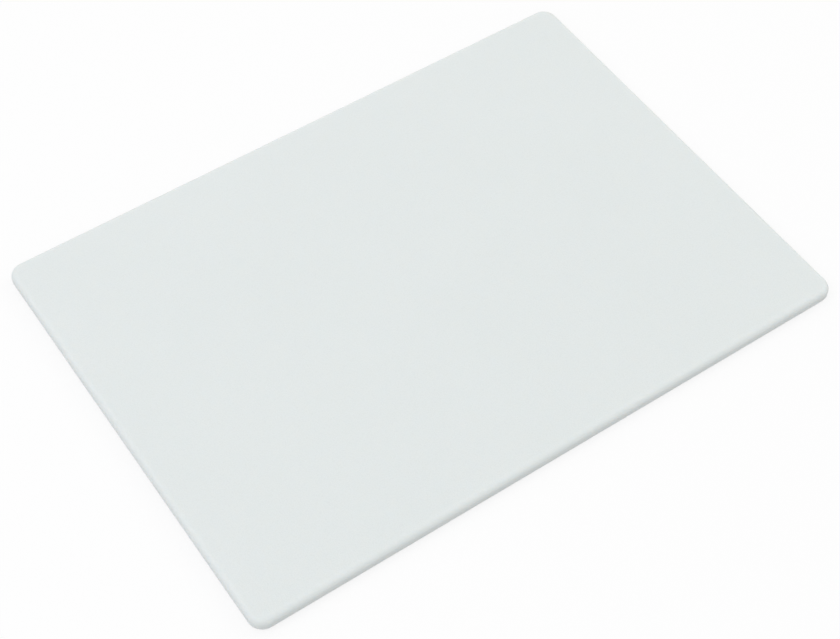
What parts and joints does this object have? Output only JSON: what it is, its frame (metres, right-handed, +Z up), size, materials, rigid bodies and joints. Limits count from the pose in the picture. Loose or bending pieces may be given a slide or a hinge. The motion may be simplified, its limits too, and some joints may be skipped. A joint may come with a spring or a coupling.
{
  "type": "cutting board",
  "caption": "Flat rectangular kitchen cutting board: a plain white plastic slab with rounded corners and softly rounded rims, alike on either face.",
  "frame": {"origin": "middle of the underside, on the worktop", "axes": "+X along the board's length, +Y across it and away from the cook, +Z up out of the cutting face"},
  "size_m": [0.35, 0.25, 0.008],
  "materials": {
    "polyethylene": "cool off-white polyethylene, satin, with a fine pebble grain on the faces"
  },
  "bodies": {
    "root": {"board": "polyethylene"}
  },
  "joints": []
}
